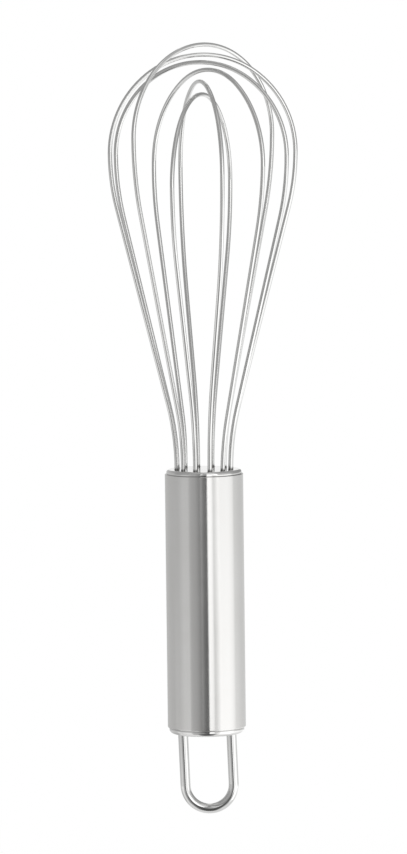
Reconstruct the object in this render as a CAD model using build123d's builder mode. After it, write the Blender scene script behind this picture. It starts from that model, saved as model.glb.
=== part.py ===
from build123d import *
import os
from math import cos, radians, sin

# Balloon whisk, all metal: six sprung wire loops in a tube handle with a hanging loop.
# The axis of the whisk is Z, the balloon points up, and the origin is at mid grip.

# Grip tube
grip_length = 81.8
grip_diameter = 25.1
grip_wall = 0.8
upper_rim_round = 0.2
lower_rim_round = 0.45

# Sheet caps that close the two ends of the tube, their edges set in from its side
cap_sheet = 0.7
cap_inset = 0.5
wire_cap_rise = 1.4
wire_cap_round = 1.0
wire_cap_skirt = 5.0
end_cap_rise = 1.8
end_cap_round = 1.3
end_cap_skirt = 6.0

# Sprung wire, and the ring of holes that its legs come out of, inside the cap's skirt
wire_diameter = 1.4
wire_hole_clearance = 0.15
wire_leg_to_skirt = 1.45
leg_in_plug = 12.0
plug_under_legs = 2.0

# From the cap every leg flares outwards to its steepest slope and then runs straight;
# above its widest place the shoulder turns in towards the rounder top
flare_radius = 82.0
shoulder_turn_angle = 55.0

# The loops from the outermost inwards: each lies in a plane through the axis,
# turned back from the last one by the pitch of the holes, and nested below it.
# Heights are above the cap, and a lean is a tilt towards +X
first_turn_angle = 42.0
loop_pitch_angle = 30.0
loop_tops = (135.5, 132.3, 129.9, 127.5, 123.8, 119.7)
widest_heights = (106.4, 101.3, 100.4, 97.7, 95.4, 91.3)
half_widths = (29.7, 30.2, 28.6, 25.9, 32.0, 30.0)
leg_slope_angles = (13.9, 14.6, 13.8, 12.2, 21.0, 17.8)
loop_lean_angles = (0.6, 0.5, 0.1, 1.4, 0.1, 0.2)

# Hanging loop: a thick wire bent to a U, with its legs through the end cap
hanger_diameter = 3.2
hanger_leg_to_skirt = 1.7
hanger_reach = 28.1
hanger_inside = 4.0
hanger_lean_angle = 2.0

# Sizes that follow from those above
rim_top = grip_length / 2
rim_bottom = -rim_top
grip_radius = grip_diameter / 2
bore_radius = grip_radius - grip_wall
skirt_radius = bore_radius - cap_sheet
cap_radius = grip_radius - cap_inset
cap_top = rim_top + wire_cap_rise
cap_underside = cap_top - cap_sheet
wire_radius = wire_diameter / 2
foot_radius = skirt_radius - wire_leg_to_skirt - wire_radius
plug_bottom = cap_top - leg_in_plug - plug_under_legs
hanger_radius = hanger_diameter / 2
hanger_leg_x = skirt_radius - hanger_leg_to_skirt - hanger_radius
loop_count = len(loop_tops)

os.makedirs("parts", exist_ok=True)


def cup_outline(rim, away, rise, skirt):
    """Half section of a pressed cup on a rim, its crown raised away from the tube."""
    crown = rim + away * rise
    inside = crown - away * cap_sheet
    skirt_end = rim - away * skirt
    return (
        (0, crown),
        (cap_radius, crown),
        (cap_radius, rim),
        (bore_radius, rim),
        (bore_radius, skirt_end),
        (skirt_radius, skirt_end),
        (skirt_radius, inside),
        (0, inside),
    )


def line_travel(heading):
    """Outward and upward travel of a unit line, its heading measured from +Z."""
    return sin(radians(heading)), cos(radians(heading))


def arc_travel(start_heading, end_heading):
    """Outward and upward travel of an arc of unit radius between two headings."""
    start_x, start_z = line_travel(start_heading)
    end_x, end_z = line_travel(end_heading)
    side = 1 if end_heading > start_heading else -1
    return side * (start_z - end_z), side * (end_x - start_x)


def amounts(first, second, outward, upward):
    """How much of two unit travels together covers this much outward and upward."""
    spread = first[0] * second[1] - second[0] * first[1]
    first_amount = (outward * second[1] - upward * second[0]) / spread
    second_amount = (upward * first[0] - outward * first[1]) / spread
    return first_amount, second_amount


# Grip tube: a ring drawn at the lower rim and pulled up to the other one
with BuildPart() as handle_tube:
    with BuildSketch(Plane.XY.offset(rim_bottom)):
        Circle(grip_radius)
        Circle(bore_radius, mode=Mode.SUBTRACT)
    extrude(amount=grip_length)
    circles = handle_tube.edges().filter_by(GeomType.CIRCLE)
    outer_rims = circles.group_by(SortBy.RADIUS)[-1].sort_by(Axis.Z)
    fillet(outer_rims[0], radius=lower_rim_round)
    fillet(outer_rims[-1], radius=upper_rim_round)
handle_tube.part.label = "handle_tube"
export_step(handle_tube.part, "parts/handle_tube.step")

# Wire cap: a pressed cup with its flange on the upper rim, its skirt in the bore,
# and a ring of holes, one for each wire leg
with BuildPart() as wire_cap:
    with BuildSketch(Plane.XZ):
        with BuildLine():
            Polyline(*cup_outline(rim_top, 1, wire_cap_rise, wire_cap_skirt), close=True)
        make_face()
    revolve(axis=Axis.Z)
    crown_edge = wire_cap.edges().filter_by(GeomType.CIRCLE).group_by(Axis.Z)[-1]
    fillet(crown_edge, radius=wire_cap_round)
    with BuildSketch(Plane.XY.offset(cap_top)):
        with PolarLocations(foot_radius, 2 * loop_count, start_angle=first_turn_angle):
            Circle(wire_radius + wire_hole_clearance)
    extrude(amount=-cap_sheet, mode=Mode.SUBTRACT)
wire_cap.part.label = "wire_cap"
export_step(wire_cap.part, "parts/wire_cap.step")

# Balloon wires: half of each loop is a chain of tangent arcs and one straight run,
# from the foot to the top, mirrored to the other side and swept with the round wire
wires = []
for number in range(loop_count):
    turn = first_turn_angle - number * loop_pitch_angle
    slope = leg_slope_angles[number]
    flare_x, flare_z = arc_travel(0, slope)
    run_length, flank_radius = amounts(
        line_travel(slope),
        arc_travel(slope, 0),
        half_widths[number] - foot_radius - flare_radius * flare_x,
        widest_heights[number] - flare_radius * flare_z,
    )
    shoulder_radius, top_radius = amounts(
        arc_travel(0, -shoulder_turn_angle),
        arc_travel(-shoulder_turn_angle, -90),
        -half_widths[number],
        loop_tops[number] - widest_heights[number],
    )
    leaned = Location((0, 0, cap_top), (0, loop_lean_angles[number], turn))
    loop_plane = Plane(leaned * Rotation(90, 0, 0))
    with BuildPart() as wire:
        with BuildLine(loop_plane) as loop_path:
            leg = Line((foot_radius, -leg_in_plug), (foot_radius, 0))
            flare = JernArc(leg @ 1, leg % 1, flare_radius, -slope)
            run = PolarLine(flare @ 1, run_length, direction=flare % 1)
            flank = JernArc(run @ 1, run % 1, flank_radius, slope)
            rounding = JernArc(flank @ 1, flank % 1, shoulder_radius, shoulder_turn_angle)
            JernArc(rounding @ 1, rounding % 1, top_radius, 90 - shoulder_turn_angle)
            mirror(about=Plane(loop_plane.origin, z_dir=loop_plane.x_dir))
        with BuildSketch(Plane(leg @ 0, z_dir=leg % 0)):
            Circle(wire_radius)
        sweep(path=loop_path.wire())
    wire.part.label = f"balloon_wire_{number + 1}"
    export_step(wire.part, f"parts/balloon_wire_{number + 1}.step")
    wires.append(wire.part)

# Wire plug: sealing poured behind the cap, which grips the hidden ends of the legs
with BuildPart() as wire_plug:
    with BuildSketch(Plane.XZ):
        with BuildLine():
            Polyline(
                (0, cap_underside),
                (skirt_radius, cap_underside),
                (skirt_radius, rim_top - wire_cap_skirt),
                (bore_radius, rim_top - wire_cap_skirt),
                (bore_radius, plug_bottom),
                (0, plug_bottom),
                close=True,
            )
        make_face()
    revolve(axis=Axis.Z)
    add(wires, mode=Mode.SUBTRACT)
wire_plug.part.label = "wire_plug"
export_step(wire_plug.part, "parts/wire_plug.step")

# Hanging loop: two legs and a half round, tilted a little towards +X
hanger_plane = Plane(Location((0, 0, rim_bottom), (0, -hanger_lean_angle, 0)) * Rotation(90, 0, 0))
hanger_bend_z = hanger_reach - hanger_radius - hanger_leg_x
with BuildPart() as hanging_loop:
    with BuildLine(hanger_plane) as hanger_path:
        left_leg = Line((-hanger_leg_x, hanger_inside), (-hanger_leg_x, -hanger_bend_z))
        JernArc(left_leg @ 1, left_leg % 1, hanger_leg_x, 180)
        Line((hanger_leg_x, -hanger_bend_z), (hanger_leg_x, hanger_inside))
    with BuildSketch(Plane(left_leg @ 0, z_dir=left_leg % 0)):
        Circle(hanger_radius)
    sweep(path=hanger_path.wire())
hanging_loop.part.label = "hanging_loop"
export_step(hanging_loop.part, "parts/hanging_loop.step")

# End cap: a pressed cup like the other, with a rounder edge, welded round the two legs
with BuildPart() as end_cap:
    with BuildSketch(Plane.XZ):
        with BuildLine():
            Polyline(*cup_outline(rim_bottom, -1, end_cap_rise, end_cap_skirt), close=True)
        make_face()
    revolve(axis=Axis.Z)
    crown_edge = end_cap.edges().filter_by(GeomType.CIRCLE).group_by(Axis.Z)[0]
    fillet(crown_edge, radius=end_cap_round)
    add(hanging_loop.part, mode=Mode.SUBTRACT)
end_cap.part.label = "end_cap"
export_step(end_cap.part, "parts/end_cap.step")
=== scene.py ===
# %% [markdown]
# # An all-metal balloon whisk
# This lesson dresses a whisk whose solids are already made: a steel tube for the grip,
# two pressed caps, six sprung wire loops and a hanging loop of thicker wire. The solids
# have the right form, so they are kept as they are, and the work is in the finishes,
# the studio round them and the camera.

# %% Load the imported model
import math

import bmesh
import bpy
import numpy as np
from mathutils import Matrix, Vector


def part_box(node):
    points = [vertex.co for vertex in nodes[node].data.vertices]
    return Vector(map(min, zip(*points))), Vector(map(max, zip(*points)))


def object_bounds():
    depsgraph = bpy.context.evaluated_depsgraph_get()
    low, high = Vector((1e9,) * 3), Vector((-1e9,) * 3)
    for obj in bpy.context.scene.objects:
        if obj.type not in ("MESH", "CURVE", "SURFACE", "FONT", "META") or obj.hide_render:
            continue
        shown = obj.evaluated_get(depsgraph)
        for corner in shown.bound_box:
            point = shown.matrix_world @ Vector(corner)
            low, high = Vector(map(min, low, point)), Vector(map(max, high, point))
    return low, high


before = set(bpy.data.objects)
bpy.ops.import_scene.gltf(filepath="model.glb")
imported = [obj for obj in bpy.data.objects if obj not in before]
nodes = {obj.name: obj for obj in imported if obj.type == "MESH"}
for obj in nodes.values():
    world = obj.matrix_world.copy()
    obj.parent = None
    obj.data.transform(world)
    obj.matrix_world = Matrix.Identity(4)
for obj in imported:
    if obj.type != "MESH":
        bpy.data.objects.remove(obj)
solid_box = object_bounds()
print("solids:", sorted(nodes))

# %% [markdown]
# ## Sizes that the scene works from
# One unit is a metre, and the whisk's axis is Z. The heights of the grip's two ends, of
# the cap's top and of the whisk's lowest point could be typed in, but then they would
# stay behind if the model changed. So they are read from the solids, and the seams, the
# studio and the camera are placed from them.

# %% Read the sizes of the grip and of the whole whisk
MILLIMETRE = 0.001
tube_low, tube_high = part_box("handle_tube")
cap_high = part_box("wire_cap")[1]
whisk_low, whisk_high = solid_box
print("grip diameter, mm:", round((tube_high.x - tube_low.x) / MILLIMETRE, 2))
print("whisk height, mm:", round((whisk_high.z - whisk_low.z) / MILLIMETRE, 1))

# %% [markdown]
# ## The camera
# The photograph was taken from under two metres away with a long lens, from a little
# above the balloon's top, so the cap shows as a thin ellipse and the grip's lower rim as
# a fuller one. The lens follows from the distance and from how many millimetres one
# pixel covers at the cap. The picture could be shifted until the whisk sits where it
# should. The camera is aimed instead, as a photographer would do it, so that the middle
# of the cap falls on its pixel.

# %% Aim the camera
PICTURE_WIDTH, PICTURE_HEIGHT = 407, 854
CAP_PIXEL_X, CAP_PIXEL_Y = 203.9, 468.9
PIXEL_AT_CAP = 0.32 * MILLIMETRE
CAMERA_DISTANCE = 1.762
CAMERA_ELEVATION = math.radians(5.32)
PICTURE_TURN = math.radians(-0.67)

cap_centre = Vector((0, 0, cap_high.z))
focal_pixels = CAMERA_DISTANCE / PIXEL_AT_CAP
sight = Vector((0, math.cos(CAMERA_ELEVATION), -math.sin(CAMERA_ELEVATION)))
level_right = Vector((1, 0, 0))
level_up = level_right.cross(sight)
right = math.cos(PICTURE_TURN) * level_right + math.sin(PICTURE_TURN) * level_up
up = math.cos(PICTURE_TURN) * level_up - math.sin(PICTURE_TURN) * level_right
aside = (CAP_PIXEL_X - PICTURE_WIDTH / 2) / focal_pixels
below = (CAP_PIXEL_Y - PICTURE_HEIGHT / 2) / focal_pixels
forward = (sight - aside * right + below * up).normalized()
right = forward.cross(up).normalized()
up = right.cross(forward)
print("camera looks along:", tuple(round(part, 4) for part in forward))

# %% Place the camera
SENSOR_MM = 36.0
SIGHT_LIMIT = 40.0

camera = bpy.data.objects.new("camera", bpy.data.cameras.new("camera"))
bpy.context.scene.collection.objects.link(camera)
camera_place = cap_centre - CAMERA_DISTANCE * sight
camera_axes = Matrix((right, up, -forward)).transposed()
camera.matrix_world = Matrix.Translation(camera_place) @ camera_axes.to_4x4()
camera.data.sensor_width = SENSOR_MM
camera.data.lens = focal_pixels * SENSOR_MM / PICTURE_HEIGHT
camera.data.clip_end = SIGHT_LIMIT
bpy.context.scene.camera = camera
print("lens, mm:", round(camera.data.lens, 1))
print("camera at:", tuple(round(part, 3) for part in camera_place))


# %% [markdown]
# ## Helpers for node trees
# Materials and node groups could be clicked together by hand. A script that writes them
# has to stay readable, so small helpers add a node, join two sockets, and do the few
# things that every finish needs: sums, noise, a fade between two limits, a mix of two
# colours and a bump.

# %% Helpers that add nodes and links
def add_node(tree, kind, label, **settings):
    """Adds a node, names it and sets its attributes."""
    node = tree.nodes.new(kind)
    node.name = node.label = label
    for name, value in settings.items():
        setattr(node, name, value)
    return node


def join(tree, start, end):
    """Links an output socket to an input socket."""
    tree.links.new(start, end)


def object_place(tree):
    """The place of a point on the object, in metres from the whisk's origin."""
    return add_node(tree, "ShaderNodeTexCoord", "place").outputs["Object"]


def split(tree, vector):
    """The X, Y and Z of a vector."""
    parts = add_node(tree, "ShaderNodeSeparateXYZ", "parts")
    join(tree, vector, parts.inputs[0])
    return parts.outputs["X"], parts.outputs["Y"], parts.outputs["Z"]


# %% Helpers for numbers
def maths(tree, operation, first, second=None):
    """A Math node: each input is a number or an output socket. Returns its output."""
    node = add_node(tree, "ShaderNodeMath", operation.lower(), operation=operation)
    for socket, value in zip(node.inputs, (first, second)):
        if isinstance(value, bpy.types.NodeSocket):
            join(tree, value, socket)
        elif value is not None:
            socket.default_value = value
    return node.outputs[0]


def weighted_sum(tree, first, second, first_share):
    """Adds two masks, the first with its share and the second with the rest."""
    return maths(tree, "ADD",
                 maths(tree, "MULTIPLY", first, first_share),
                 maths(tree, "MULTIPLY", second, 1 - first_share))


def fade(tree, label, value, low, high, start=0.0, end=1.0, soft=True):
    """Goes from start to end while the value goes from low to high."""
    course = "SMOOTHSTEP" if soft else "LINEAR"
    node = add_node(tree, "ShaderNodeMapRange", label, interpolation_type=course)
    node.inputs["From Min"].default_value = low
    node.inputs["From Max"].default_value = high
    node.inputs["To Min"].default_value = start
    node.inputs["To Max"].default_value = end
    join(tree, value, node.inputs["Value"])
    return node.outputs["Result"]


def stretched_noise(tree, label, lengths, **values):
    """Noise at the place that three lengths give. A length of 1 is about one grain."""
    place = add_node(tree, "ShaderNodeCombineXYZ", f"{label}_place")
    for socket, length in zip(place.inputs, lengths):
        join(tree, length, socket)
    noise = add_node(tree, "ShaderNodeTexNoise", label)
    noise.inputs["Scale"].default_value = 1.0
    for name, value in values.items():
        noise.inputs[name].default_value = value
    join(tree, place.outputs[0], noise.inputs["Vector"])
    return noise.outputs["Fac"]


# %% Helpers for colours, bumps and shaders
def colour_mix(tree, label, first, second, share):
    """Mixes two colours by a share. Each is red, green and blue, or an output socket."""
    node = add_node(tree, "ShaderNodeMix", label, data_type="RGBA")
    for name, colour in (("A", first), ("B", second)):
        if isinstance(colour, bpy.types.NodeSocket):
            join(tree, colour, node.inputs[name])
        else:
            node.inputs[name].default_value = (*colour, 1)
    join(tree, share, node.inputs["Factor"])
    return node.outputs["Result"]


def bumped(tree, height, depth):
    """A normal that follows a height between 0 and 1, which stands for this depth."""
    node = add_node(tree, "ShaderNodeBump", "bump")
    node.inputs["Strength"].default_value = 1.0
    node.inputs["Distance"].default_value = depth
    join(tree, height, node.inputs["Height"])
    return node.outputs["Normal"]


def shader_mix(tree, share, first, second):
    """Mixes two shaders: a share of 0 shows the first and a share of 1 the second."""
    node = add_node(tree, "ShaderNodeMixShader", "mix")
    for socket, value in zip(node.inputs, (share, first, second)):
        join(tree, value, socket)
    return node.outputs[0]


# %% Helpers for node groups
def new_group(name, inputs, outputs):
    """An empty group of number sockets. Returns the tree and its two end nodes."""
    tree = bpy.data.node_groups.new(name, "ShaderNodeTree")
    for label, value in inputs.items():
        socket = tree.interface.new_socket(label, in_out="INPUT", socket_type="NodeSocketFloat")
        socket.default_value = value
    for label in outputs:
        tree.interface.new_socket(label, in_out="OUTPUT", socket_type="NodeSocketFloat")
    start = add_node(tree, "NodeGroupInput", "in")
    end = add_node(tree, "NodeGroupOutput", "out")
    return tree, start, end


def place_group(tree, group, label, **values):
    """Places a node group and sets its inputs, whose names have _ for a space."""
    node = add_node(tree, "ShaderNodeGroup", label, node_tree=group)
    for name, value in values.items():
        node.inputs[name.replace("_", " ")].default_value = value
    return node


# %% [markdown]
# ## Turning lines, a shared effect
# The tube and the caps were finished on a lathe: an abrasive held against the spinning
# steel leaves fine lines that run round the axis. On the tube they lie one above the
# other, on a flat cap they are circles. A wave texture would draw them too evenly, so
# they are noise that changes fast with the height plus the distance from the axis, and
# slowly round the axis. That one sum covers both the tube and the caps.

# %% Node group: lines that run round the axis
NOISE_LOW, NOISE_HIGH = 0.3, 0.7
LEAST_RADIUS = 0.1 * MILLIMETRE


def build_turning_lines():
    """Gives the lines' height for a bump, and their tone from 0 to 1."""
    tree, start, end = new_group(
        "turning_lines", {"Lines per mm": 6.0, "Break up": 3.0}, ("Height", "Tone")
    )
    x, y, z = split(tree, object_place(tree))
    squares = maths(tree, "ADD", maths(tree, "MULTIPLY", x, x), maths(tree, "MULTIPLY", y, y))
    radius = maths(tree, "MAXIMUM", maths(tree, "SQRT", squares), LEAST_RADIUS)
    sideways = maths(tree, "DIVIDE", x, radius)
    depthways = maths(tree, "DIVIDE", y, radius)
    along = maths(tree, "ADD", z, radius)
    per_metre = maths(tree, "DIVIDE", start.outputs["Lines per mm"], MILLIMETRE)
    lengths = (
        maths(tree, "MULTIPLY", sideways, start.outputs["Break up"]),
        maths(tree, "MULTIPLY", depthways, start.outputs["Break up"]),
        maths(tree, "MULTIPLY", along, per_metre),
    )
    noise = stretched_noise(tree, "lines", lengths, Detail=3.0, Roughness=0.6)
    tone = fade(tree, "tone", noise, NOISE_LOW, NOISE_HIGH, soft=False)
    join(tree, noise, end.inputs["Height"])
    join(tree, tone, end.inputs["Tone"])
    return tree


turning_lines = build_turning_lines()
print("group:", turning_lines.name)

# %% [markdown]
# ## Handling marks, a shared effect
# Steel that has been held and washed is never even: faint clouds, some millimetres
# across, change its tone and how sharply it reflects. A picture of smudges would repeat
# and needs unwrapped surfaces, so the clouds are slow noise with soft limits.

# %% Node group: faint clouds on handled steel
CLOUD_LOW, CLOUD_HIGH = 0.35, 0.65


def build_handling_marks():
    """Gives a soft mask of clouds of one size, stretched along the axis if asked."""
    tree, start, end = new_group("handling_marks", {"Size mm": 9.0, "Stretch": 1.0}, ("Cloud",))
    x, y, z = split(tree, object_place(tree))
    across = maths(tree, "MULTIPLY", start.outputs["Size mm"], MILLIMETRE)
    tall = maths(tree, "MULTIPLY", across, start.outputs["Stretch"])
    lengths = (
        maths(tree, "DIVIDE", x, across),
        maths(tree, "DIVIDE", y, across),
        maths(tree, "DIVIDE", z, tall),
    )
    noise = stretched_noise(tree, "clouds", lengths, Detail=4.0, Distortion=0.6)
    join(tree, fade(tree, "soft", noise, CLOUD_LOW, CLOUD_HIGH), end.inputs["Cloud"])
    return tree


handling_marks = build_handling_marks()
print("group:", handling_marks.name)

# %% [markdown]
# ## Drawing lines, a shared effect
# Wire is pulled through a die, which leaves faint scratches along it. They could follow
# a texture laid along each wire, but these solids carry none. Each loop lies in one
# upright plane, though, so the distance from that plane stays the same along the wire,
# all the way round the top. Noise that changes fast with that distance, and slowly along
# the plane, gives lines that follow the bent wire.

# %% Node group: scratches along a wire that lies in an upright plane
SLOWER_ALONG = 0.02


def build_drawing_lines():
    """Gives the scratches' height for a bump, and their tone from 0 to 1."""
    tree, start, end = new_group(
        "drawing_lines", {"Plane turn": 0.0, "Lines per mm": 9.0}, ("Height", "Tone")
    )
    turned = add_node(tree, "ShaderNodeVectorRotate", "turned", rotation_type="Z_AXIS")
    join(tree, object_place(tree), turned.inputs["Vector"])
    join(tree, maths(tree, "MULTIPLY", start.outputs["Plane turn"], -1.0), turned.inputs["Angle"])
    x, y, z = split(tree, turned.outputs[0])
    per_metre = maths(tree, "DIVIDE", start.outputs["Lines per mm"], MILLIMETRE)
    slow = maths(tree, "MULTIPLY", per_metre, SLOWER_ALONG)
    lengths = (
        maths(tree, "MULTIPLY", x, slow),
        maths(tree, "MULTIPLY", y, per_metre),
        maths(tree, "MULTIPLY", z, slow),
    )
    noise = stretched_noise(tree, "scratches", lengths, Detail=2.0)
    tone = fade(tree, "tone", noise, NOISE_LOW, NOISE_HIGH, soft=False)
    join(tree, noise, end.inputs["Height"])
    join(tree, tone, end.inputs["Tone"])
    return tree


drawing_lines = build_drawing_lines()
print("group:", drawing_lines.name)

# %% [markdown]
# ## Painted shade in a seam, a shared effect
# Where two pieces meet, a narrow groove lies in shade, and this shade is painted into
# the colour. Each seam of the whisk lies level, so there is no need to paint a mask or
# to measure distances between pieces: the mask is full at the seam's height and fades
# out above and below it. A slow noise makes it uneven.

# %% Node group: a band of painted shade at one height
UNEVEN_PER_MM = 0.4
UNEVEN_AMOUNT = 0.3
FULL_UP_TO = 0.3
GONE_AT = 1.2


def build_seam_shade():
    """Gives a mask that is 1 in the seam. The fade's limits are shares of the reach."""
    # The mask paints the shade of the seam's groove.
    tree, start, end = new_group("painted_seam_shade", {"Level mm": 0.0, "Reach mm": 0.5}, ("Mask",))
    place = object_place(tree)
    height_mm = maths(tree, "DIVIDE", split(tree, place)[2], MILLIMETRE)
    away = maths(tree, "ABSOLUTE", maths(tree, "SUBTRACT", height_mm, start.outputs["Level mm"]))
    share = maths(tree, "DIVIDE", away, start.outputs["Reach mm"])
    noise = add_node(tree, "ShaderNodeTexNoise", "uneven")
    noise.inputs["Scale"].default_value = UNEVEN_PER_MM / MILLIMETRE
    join(tree, place, noise.inputs["Vector"])
    uneven = maths(tree, "MULTIPLY", noise.outputs["Fac"], UNEVEN_AMOUNT)
    mask = fade(tree, "fade", maths(tree, "ADD", share, uneven), FULL_UP_TO, GONE_AT, 1.0, 0.0)
    join(tree, mask, end.inputs["Mask"])
    return tree


painted_seam_shade = build_seam_shade()
print("group:", painted_seam_shade.name)


# %% [markdown]
# ## What every steel has in common
# All the visible steel is a metal Principled shader. One grey would look like plastic,
# so its colour and its roughness move between two values, driven by one mask from the
# groups above, and the lines give it a very shallow bump. Painted shade then darkens
# the colour in the seams. Three helpers make the parts that repeat, and each finish has
# its own values.

# %% Helpers: a steel material
def new_steel(name):
    """A metal material. Returns it and its node tree."""
    material = bpy.data.materials.new(name)
    material.use_nodes = True
    tree = material.node_tree
    tree.nodes["Principled BSDF"].inputs["Metallic"].default_value = 1.0
    return material, tree


def finish_steel(tree, mask, height, dark, light, smooth, rough, bump_depth):
    """Joins a mask to the roughness and a height to the bump. Returns the steel's
    colour, which the mask moves from dark to light."""
    shader = tree.nodes["Principled BSDF"]
    roughness = fade(tree, "roughness", mask, 0.0, 1.0, smooth, rough, soft=False)
    join(tree, roughness, shader.inputs["Roughness"])
    join(tree, bumped(tree, height, bump_depth), shader.inputs["Normal"])
    return colour_mix(tree, "colour", dark, light, mask)


# %% Helper: painted shade in the seams on steel
# The colour of the painted shade in the grooves at the tube's two ends.
SEAM_SHADE_TONE = (0.10, 0.098, 0.092)
TUBE_ENDS_MM = (tube_high.z / MILLIMETRE, tube_low.z / MILLIMETRE)


def paint_shade_at_levels(tree, colour, levels, reach, tone, strength):
    """Paints shade into a colour at each height of the list, and joins it to the shader.
    The heights and the reach are in millimetres."""
    for number, level in enumerate(levels, start=1):
        seam = place_group(tree, painted_seam_shade, f"seam_{number}", Level_mm=level, Reach_mm=reach)
        share = maths(tree, "MULTIPLY", seam.outputs["Mask"], strength)
        colour = colour_mix(tree, f"painted_shade_{number}", colour, tone, share)
    join(tree, colour, tree.nodes["Principled BSDF"].inputs["Base Color"])


print("seams at, mm:", [round(level, 1) for level in TUBE_ENDS_MM])

# %% [markdown]
# ## Satin steel for the tube
# The grip shows long sharp stripes of light and dark: it mirrors the studio sharply
# across, and blurs it along, which is what lines round a tube do. Lines in the bump
# alone would need far more pixels than the picture has. So the shader is anisotropic,
# with its highlight stretched along the axis, and the turning lines also show in the
# colour, the roughness and a very shallow bump.

# %% Satin steel
satin_steel, tree = new_steel("satin_steel_finish")
lines = place_group(tree, turning_lines, "lines", Lines_per_mm=9.0, Break_up=0.8)
clouds = place_group(tree, handling_marks, "clouds", Size_mm=11.0, Stretch=1.6)
colour = finish_steel(
    tree,
    weighted_sum(tree, lines.outputs["Tone"], clouds.outputs["Cloud"], first_share=0.5),
    lines.outputs["Height"],
    dark=(0.618, 0.612, 0.600),
    light=(0.645, 0.642, 0.634),
    smooth=0.17,
    rough=0.21,
    bump_depth=0.0005 * MILLIMETRE,
)
# Painted shade in the grooves where the caps meet the tube's two ends.
paint_shade_at_levels(tree, colour, TUBE_ENDS_MM, reach=0.25, tone=SEAM_SHADE_TONE, strength=0.35)
shader = tree.nodes["Principled BSDF"]
round_axis = add_node(tree, "ShaderNodeTangent", "round_axis", direction_type="RADIAL", axis="Z")
join(tree, round_axis.outputs[0], shader.inputs["Tangent"])
shader.inputs["Anisotropic"].default_value = 0.9
shader.inputs["Anisotropic Rotation"].default_value = 0.25
print("material:", satin_steel.name)

# %% [markdown]
# ## Polished steel for the caps
# The two caps were pressed from sheet and polished, so they mirror more sharply than
# the tube, and they are a little brighter. The tube's finish would blur their rounded
# edges. They have one of their own, with the same turning lines, only fewer and
# fainter.

# %% Cap steel
cap_steel, tree = new_steel("cap_steel_finish")
lines = place_group(tree, turning_lines, "lines", Lines_per_mm=5.0, Break_up=2.0)
clouds = place_group(tree, handling_marks, "clouds", Size_mm=4.0)
colour = finish_steel(
    tree,
    weighted_sum(tree, lines.outputs["Tone"], clouds.outputs["Cloud"], first_share=0.5),
    lines.outputs["Height"],
    dark=(0.670, 0.667, 0.658),
    light=(0.730, 0.727, 0.720),
    smooth=0.07,
    rough=0.12,
    bump_depth=0.0003 * MILLIMETRE,
)
# Painted shade in the same grooves, on the caps' side.
paint_shade_at_levels(tree, colour, TUBE_ENDS_MM, reach=0.30, tone=SEAM_SHADE_TONE, strength=0.45)
print("material:", cap_steel.name)


# %% [markdown]
# ## Bright wire for the balloon
# Drawn wire is smooth and bright, with scratches along it. Where it leaves the cap, shade
# is painted into its colour as a dark foot. One material for all six loops would run its
# scratches across most of them. Each loop has its own plane, so each gets its own copy of
# the finish, with the turn of that plane. The turn isn't typed in: it is the direction in
# which the loop's points spread most, seen from above.

# %% Helper: the turn of a loop's plane
def plane_turn(node):
    """The angle from +X of the upright plane that a loop lies in, in radians."""
    points = np.array([vertex.co[:2] for vertex in nodes[node].data.vertices])
    spread = np.cov((points - points.mean(axis=0)).T)
    direction = np.linalg.eigh(spread)[1][:, -1]
    return math.atan2(direction[1], direction[0])


# %% Wire steel
# The colour of the painted shade at each wire's foot, where it enters the cap.
FOOT_SHADE_TONE = (0.07, 0.068, 0.065)
WIRE_FEET_MM = cap_high.z / MILLIMETRE


def wire_material(name, turn, smooth, rough):
    """Bright drawn wire whose scratches follow a loop in the plane with that turn."""
    material, tree = new_steel(name)
    scratches = place_group(tree, drawing_lines, "scratches", Plane_turn=turn)
    clouds = place_group(tree, handling_marks, "clouds", Size_mm=6.0)
    colour = finish_steel(
        tree,
        weighted_sum(tree, scratches.outputs["Tone"], clouds.outputs["Cloud"], first_share=0.6),
        scratches.outputs["Height"],
        dark=(0.635, 0.635, 0.628),
        light=(0.695, 0.695, 0.688),
        smooth=smooth,
        rough=rough,
        bump_depth=0.0004 * MILLIMETRE,
    )
    # Painted shade at the foot, where the wire enters the cap.
    paint_shade_at_levels(tree, colour, (WIRE_FEET_MM,), reach=0.9, tone=FOOT_SHADE_TONE, strength=0.8)
    return material


# %% [markdown]
# ## Sealing
# Behind the wire cap the ends of the wires sit in poured sealing. It is only seen as
# the dark ring in each hole, where a plain black would do, but the piece can also be
# looked at by itself. So it has a finish of its own: dull, dark and a little lumpy.

# %% Sealing
SEALING_DARK, SEALING_LIGHT = (0.08, 0.078, 0.075), (0.14, 0.137, 0.13)
LUMP_HEIGHT = 0.05 * MILLIMETRE

sealing = bpy.data.materials.new("sealing_finish")
sealing.use_nodes = True
tree = sealing.node_tree
shader = tree.nodes["Principled BSDF"]
cloud = place_group(tree, handling_marks, "clouds", Size_mm=1.5).outputs["Cloud"]
colour = colour_mix(tree, "colour", SEALING_DARK, SEALING_LIGHT, cloud)
join(tree, colour, shader.inputs["Base Color"])
join(tree, bumped(tree, cloud, LUMP_HEIGHT), shader.inputs["Normal"])
shader.inputs["Roughness"].default_value = 0.7
print("material:", sealing.name)

# %% [markdown]
# ## Dress the solids
# The finishes could be laid on copies of the pieces, but nothing about their shape is
# missing. So every solid stays, and its material slot gets the finish made for it. The
# hanging loop is wire too. It lies in the plane of X and Z, so its turn is 0.

# %% Assign the finishes
finishes = {
    "handle_tube": satin_steel,
    "wire_cap": cap_steel,
    "end_cap": cap_steel,
    "wire_plug": sealing,
    "hanging_loop": wire_material("hanging_loop_finish", turn=0.0, smooth=0.05, rough=0.09),
}
loops = sorted(name for name in nodes if name.startswith("balloon_wire"))
for name in loops:
    turn = plane_turn(name)
    finishes[name] = wire_material(f"{name}_finish", turn, smooth=0.04, rough=0.07)
    print(name, "plane turned by, degrees:", round(math.degrees(turn), 1))
for name, material in finishes.items():
    nodes[name].material_slots[0].material = material
print("dressed:", sorted(finishes))


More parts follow.
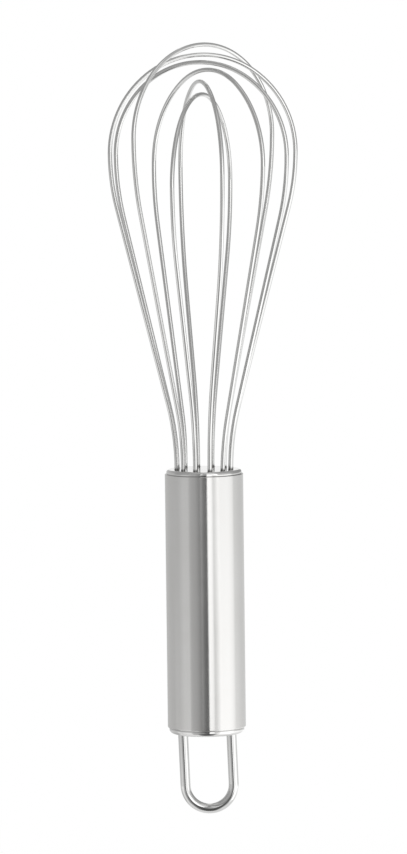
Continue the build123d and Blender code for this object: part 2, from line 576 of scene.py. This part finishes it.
# %% [markdown]
# ## The studio
# Polished metal has hardly any colour of its own: what it shows is the studio. The
# stripes of the photograph tell what stood there, because each upright line of the tube
# mirrors one direction. On the left stands a grey wall that darkens towards the lens.
# Round the lens it is dark, and just right of it comes a bright gap. Then follow a pale
# wall and a large soft light on the right. Behind the whisk the walls are pale on the
# right and grey on the left, with a narrow white slit between them.
#
# The wires mirror the same studio, also from below and above, so the tones change with
# the height too: most of the walls are brighter at their foot, and the light on the
# right fades above the grip. The rounded edges of the caps add a grey ceiling, a dark
# sheet on the floor in front and another one just under the whisk.
#
# Lamps alone would leave dots and streaks on the wires instead. So each of these is a
# curved card round the whisk that glows with a run of tones and is seen only in
# reflections. The walls turn in along the floor and the ceiling, so that slanted wires
# mirror them as upright ones do.

# %% Helper: the mesh of a curved card, with its tones
CARD_STEPS = 24


def card_mesh(name, azimuths, profile, tones, by_height):
    """A strip round the whisk through a profile of (radius, height) pairs.
    Azimuths go from the camera's side towards +X, in degrees.
    Tones are (share of the way round, brightness) pairs, and by_height has one
    factor on the brightness for each pair of the profile."""
    mesh = bpy.data.meshes.new(name)
    shape = bmesh.new()
    glow_layer = shape.verts.layers.float_color.new("glow")
    shares, levels = zip(*tones)
    rows = []
    for step in range(CARD_STEPS + 1):
        share = step / CARD_STEPS
        angle = math.radians(azimuths[0] + share * (azimuths[1] - azimuths[0]))
        tone = np.interp(share, shares, levels)
        row = []
        for (radius, height), factor in zip(profile, by_height):
            corner = shape.verts.new((radius * math.sin(angle), -radius * math.cos(angle), height))
            corner[glow_layer] = (tone * factor, tone * factor, tone * factor, 1)
            row.append(corner)
        rows.append(row)
    for near, far in zip(rows, rows[1:]):
        for low in range(len(profile) - 1):
            shape.faces.new((near[low], far[low], far[low + 1], near[low + 1]))
    shape.to_mesh(mesh)
    shape.free()
    return mesh


# %% Helper: a card that glows with its tones
def glow_material(name, from_above_only):
    """Glows with the tones of the mesh. A card that glows from above only is clear
    when it is seen from below."""
    material = bpy.data.materials.new(name)
    material.use_nodes = True
    tree = material.node_tree
    tree.nodes.remove(tree.nodes["Principled BSDF"])
    tones = add_node(tree, "ShaderNodeAttribute", "tones", attribute_name="glow")
    glow = add_node(tree, "ShaderNodeEmission", "glow")
    join(tree, tones.outputs["Color"], glow.inputs["Color"])
    seen = glow.outputs[0]
    if from_above_only:
        sides = add_node(tree, "ShaderNodeNewGeometry", "sides")
        clear = add_node(tree, "ShaderNodeBsdfTransparent", "clear")
        seen = shader_mix(tree, sides.outputs["Backfacing"], clear.outputs[0], seen)
    join(tree, seen, tree.nodes["Material Output"].inputs["Surface"])
    return material


def card(name, azimuths, profile, tones, by_height=(1, 1), from_above_only=False):
    """Stands a curved card in the studio, where only mirrored rays meet it."""
    piece = bpy.data.objects.new(name, card_mesh(name, azimuths, profile, tones, by_height))
    bpy.context.scene.collection.objects.link(piece)
    piece.data.materials.append(glow_material(f"{name}_glow", from_above_only))
    piece.visible_camera = False
    piece.visible_diffuse = False
    piece.visible_shadow = False


# %% Helper: a tall wall that turns in below and above
FLOOR_DROP = 0.25
WALL_LIFT = 0.005
WALL_DISTANCE = 1.1
WALL_FLOOR_EDGE = 0.30
WALL_CEILING_EDGE = 0.35
GRIP_BAND_LOW, GRIP_BAND_HIGH = -0.22, -0.04
ABOVE_GRIP_BAND = 0.14
CEILING = 0.9

floor_level = whisk_low.z - FLOOR_DROP
wall_bottom = floor_level + WALL_LIFT
wall_profile = (
    (WALL_FLOOR_EDGE, wall_bottom),
    (WALL_DISTANCE, wall_bottom),
    (WALL_DISTANCE, GRIP_BAND_LOW),
    (WALL_DISTANCE, GRIP_BAND_HIGH),
    (WALL_DISTANCE, ABOVE_GRIP_BAND),
    (WALL_DISTANCE, CEILING),
    (WALL_CEILING_EDGE, CEILING),
)


def wall(name, azimuths, tones, floor, foot, above, top):
    """A tall card. The tones hold in the band that the grip mirrors, and the four
    factors change them on the floor, at the foot, above the band and at the top."""
    card(name, azimuths, wall_profile, tones, (floor, foot, 1, 1, above, top, top))


print("walls from", round(wall_bottom, 3), "to", CEILING, "m")

# %% Stand the walls
wall("grey_wall_back_left", (-172, -105), [(0.0, 0.63), (0.45, 0.66), (1.0, 0.65)],
     floor=0.85, foot=1.20, above=0.95, top=0.66)
wall("grey_wall_left", (-105, -48), [(0.0, 0.67), (0.36, 0.66), (0.66, 0.77), (1.0, 0.77)],
     floor=1.30, foot=1.55, above=0.62, top=0.61)
wall("shaded_wall_left", (-48, -12), [(0.0, 0.67), (0.22, 0.57), (0.60, 0.50), (1.0, 0.31)],
     floor=0.80, foot=1.20, above=0.86, top=0.84)
wall("dark_round_lens", (-12, 8.2), [(0.0, 0.28), (0.4, 0.14), (0.9, 0.09), (1.0, 0.09)],
     floor=1.1, foot=2.5, above=4.7, top=3.5)
wall("bright_gap_right", (8.2, 24), [(0.0, 1.66), (0.6, 1.56), (1.0, 1.3)],
     floor=0.2, foot=0.92, above=1.3, top=0.5)
wall("pale_wall_right", (24, 42), [(0.0, 0.83), (0.4, 0.95), (1.0, 1.32)],
     floor=0.67, foot=1.37, above=2.0, top=0.95)
wall("soft_light_right", (42, 94), [(0.0, 1.56), (0.6, 1.56), (0.85, 1.44), (1.0, 1.22)],
     floor=1.05, foot=1.15, above=0.53, top=0.37)
wall("pale_wall_back", (94, 172), [(0.0, 1.05), (0.25, 0.93), (0.4, 0.86), (1.0, 0.75)],
     floor=1.1, foot=1.6, above=0.42, top=0.50)

# %% Hang the ceiling and lay the dark sheets
CEILING_HOLE = 0.01
SHEET_LIFT = 0.01
FRONT_SHEET_RADII = (0.16, 0.30)
UNDER_WHISK = 0.02
UNDER_SHEET_RADII = (0.02, 0.11)


def level_ring(radii, height):
    """The profile of a flat card between two distances from the axis."""
    return tuple((radius, height) for radius in radii)


card("grey_ceiling", (-180, 180), level_ring((CEILING_HOLE, WALL_CEILING_EDGE), CEILING),
     [(0.0, 0.50), (0.33, 0.48), (0.5, 0.77), (0.57, 0.95), (0.7, 0.60), (1.0, 0.50)])
card("dark_sheet_in_front", (-32, 20), level_ring(FRONT_SHEET_RADII, floor_level + SHEET_LIFT),
     [(0.0, 0.30), (0.15, 0.12), (0.9, 0.12), (1.0, 0.30)])
card("dark_sheet_under_cap", (-28, 28), level_ring(UNDER_SHEET_RADII, whisk_low.z - UNDER_WHISK),
     [(0.0, 0.40), (0.3, 0.10), (0.7, 0.10), (1.0, 0.40)], from_above_only=True)

# %% [markdown]
# ## Floor and background
# The background is plain white. Light strong enough to burn a grey wall out to white
# would burn out the steel too. So a camera ray, a mirrored ray and a ray through glass
# see the world as white, and every other ray sees a calmer level that lights the scene.
# The floor is pale and keeps the whisk's shadow. It lies well below the whisk, which
# hangs free as in the photograph, and turns fully white far away, so that no horizon
# shows.

# %% Helper: how much of a ray sees the background as white
WHITE = (1.0, 1.0, 1.0, 1)


def sees_background(tree):
    """An output that is 1 for camera, glossy and transmission rays, and otherwise 0."""
    path = add_node(tree, "ShaderNodeLightPath", "path")
    either = maths(tree, "MAXIMUM", path.outputs["Is Camera Ray"], path.outputs["Is Glossy Ray"])
    return maths(tree, "MAXIMUM", either, path.outputs["Is Transmission Ray"])


# %% World
LIGHTING_LEVEL = 0.75

world = bpy.data.worlds.new("white_studio")
world.use_nodes = True
bpy.context.scene.world = world
tree = world.node_tree
plain = tree.nodes["Background"]
plain.inputs["Color"].default_value = WHITE
plain.inputs["Strength"].default_value = LIGHTING_LEVEL
white = add_node(tree, "ShaderNodeBackground", "white")
white.inputs["Color"].default_value = WHITE
white.inputs["Strength"].default_value = 1.0
background = shader_mix(tree, sees_background(tree), plain.outputs[0], white.outputs[0])
join(tree, background, tree.nodes["World Output"].inputs["Surface"])
print("world:", world.name)

# %% Floor
FLOOR_RADIUS = 12.0
FLOOR_RINGS = 8
FLOOR_SIDES = 64


def floor_mesh():
    """A round floor of rings, below the whisk."""
    mesh = bpy.data.meshes.new("floor")
    shape = bmesh.new()
    middle = shape.verts.new((0, 0, floor_level))
    angles = [2 * math.pi * side / FLOOR_SIDES for side in range(FLOOR_SIDES)]
    inner = None
    for ring in range(1, FLOOR_RINGS + 1):
        radius = FLOOR_RADIUS * (ring / FLOOR_RINGS) ** 2
        places = [(radius * math.cos(a), radius * math.sin(a), floor_level) for a in angles]
        outer = [shape.verts.new(place) for place in places]
        for side in range(FLOOR_SIDES):
            after = (side + 1) % FLOOR_SIDES
            if inner is None:
                shape.faces.new((middle, outer[side], outer[after]))
            else:
                shape.faces.new((inner[side], outer[side], outer[after], inner[after]))
        inner = outer
    shape.to_mesh(mesh)
    shape.free()
    return mesh


floor = bpy.data.objects.new("floor", floor_mesh())
bpy.context.scene.collection.objects.link(floor)
print("floor at, m:", round(floor_level, 3))

# %% Floor finish
PALE, PALER = (0.86, 0.86, 0.86), (0.90, 0.90, 0.90)
GRAIN_PER_METRE = 40.0
WHITER_FROM, WHITE_BEYOND = 0.5, 1.6
WHITE_NEAR_WHISK = 0.6

pale_floor = bpy.data.materials.new("pale_floor")
pale_floor.use_nodes = True
tree = pale_floor.node_tree
matt = tree.nodes["Principled BSDF"]
matt.inputs["Roughness"].default_value = 0.9
matt.inputs["Specular IOR Level"].default_value = 0.1
grain = add_node(tree, "ShaderNodeTexNoise", "grain")
grain.inputs["Scale"].default_value = GRAIN_PER_METRE
pale = colour_mix(tree, "pale", PALE, PALER, grain.outputs["Fac"])
join(tree, pale, matt.inputs["Base Color"])
white = add_node(tree, "ShaderNodeEmission", "white")
white.inputs["Color"].default_value = WHITE
white.inputs["Strength"].default_value = 1.0
reach = add_node(tree, "ShaderNodeVectorMath", "reach", operation="LENGTH")
join(tree, object_place(tree), reach.inputs[0])
distance = reach.outputs["Value"]
whiteness = fade(tree, "far", distance, WHITER_FROM, WHITE_BEYOND, WHITE_NEAR_WHISK, 1.0)
share = maths(tree, "MULTIPLY", sees_background(tree), whiteness)
surface = shader_mix(tree, share, matt.outputs[0], white.outputs[0])
join(tree, surface, tree.nodes["Material Output"].inputs["Surface"])
floor.data.materials.append(pale_floor)
print("material:", pale_floor.name)

# %% [markdown]
# ## Lamp
# One large soft lamp at the upper right lights the floor and casts the whisk's soft
# shadow. A small one would draw a hard shadow of every wire. The metal doesn't mirror
# it, because the card on that side stands for it.

# %% Soft lamp
LAMP_SIZE = 1.2
LAMP_POWER = 14.0
LAMP_PLACE = (0.9, -0.9, 1.3)

lamp = bpy.data.objects.new("soft_lamp", bpy.data.lights.new("soft_lamp", "AREA"))
lamp.data.size = LAMP_SIZE
lamp.data.energy = LAMP_POWER
lamp.location = LAMP_PLACE
lamp.rotation_euler = (-lamp.location).to_track_quat("-Z", "Y").to_euler()
lamp.visible_glossy = False
lamp.visible_camera = False
bpy.context.scene.collection.objects.link(lamp)
bpy.context.scene.view_settings.view_transform = "Standard"
print("lamp:", lamp.name, "power, W:", LAMP_POWER)
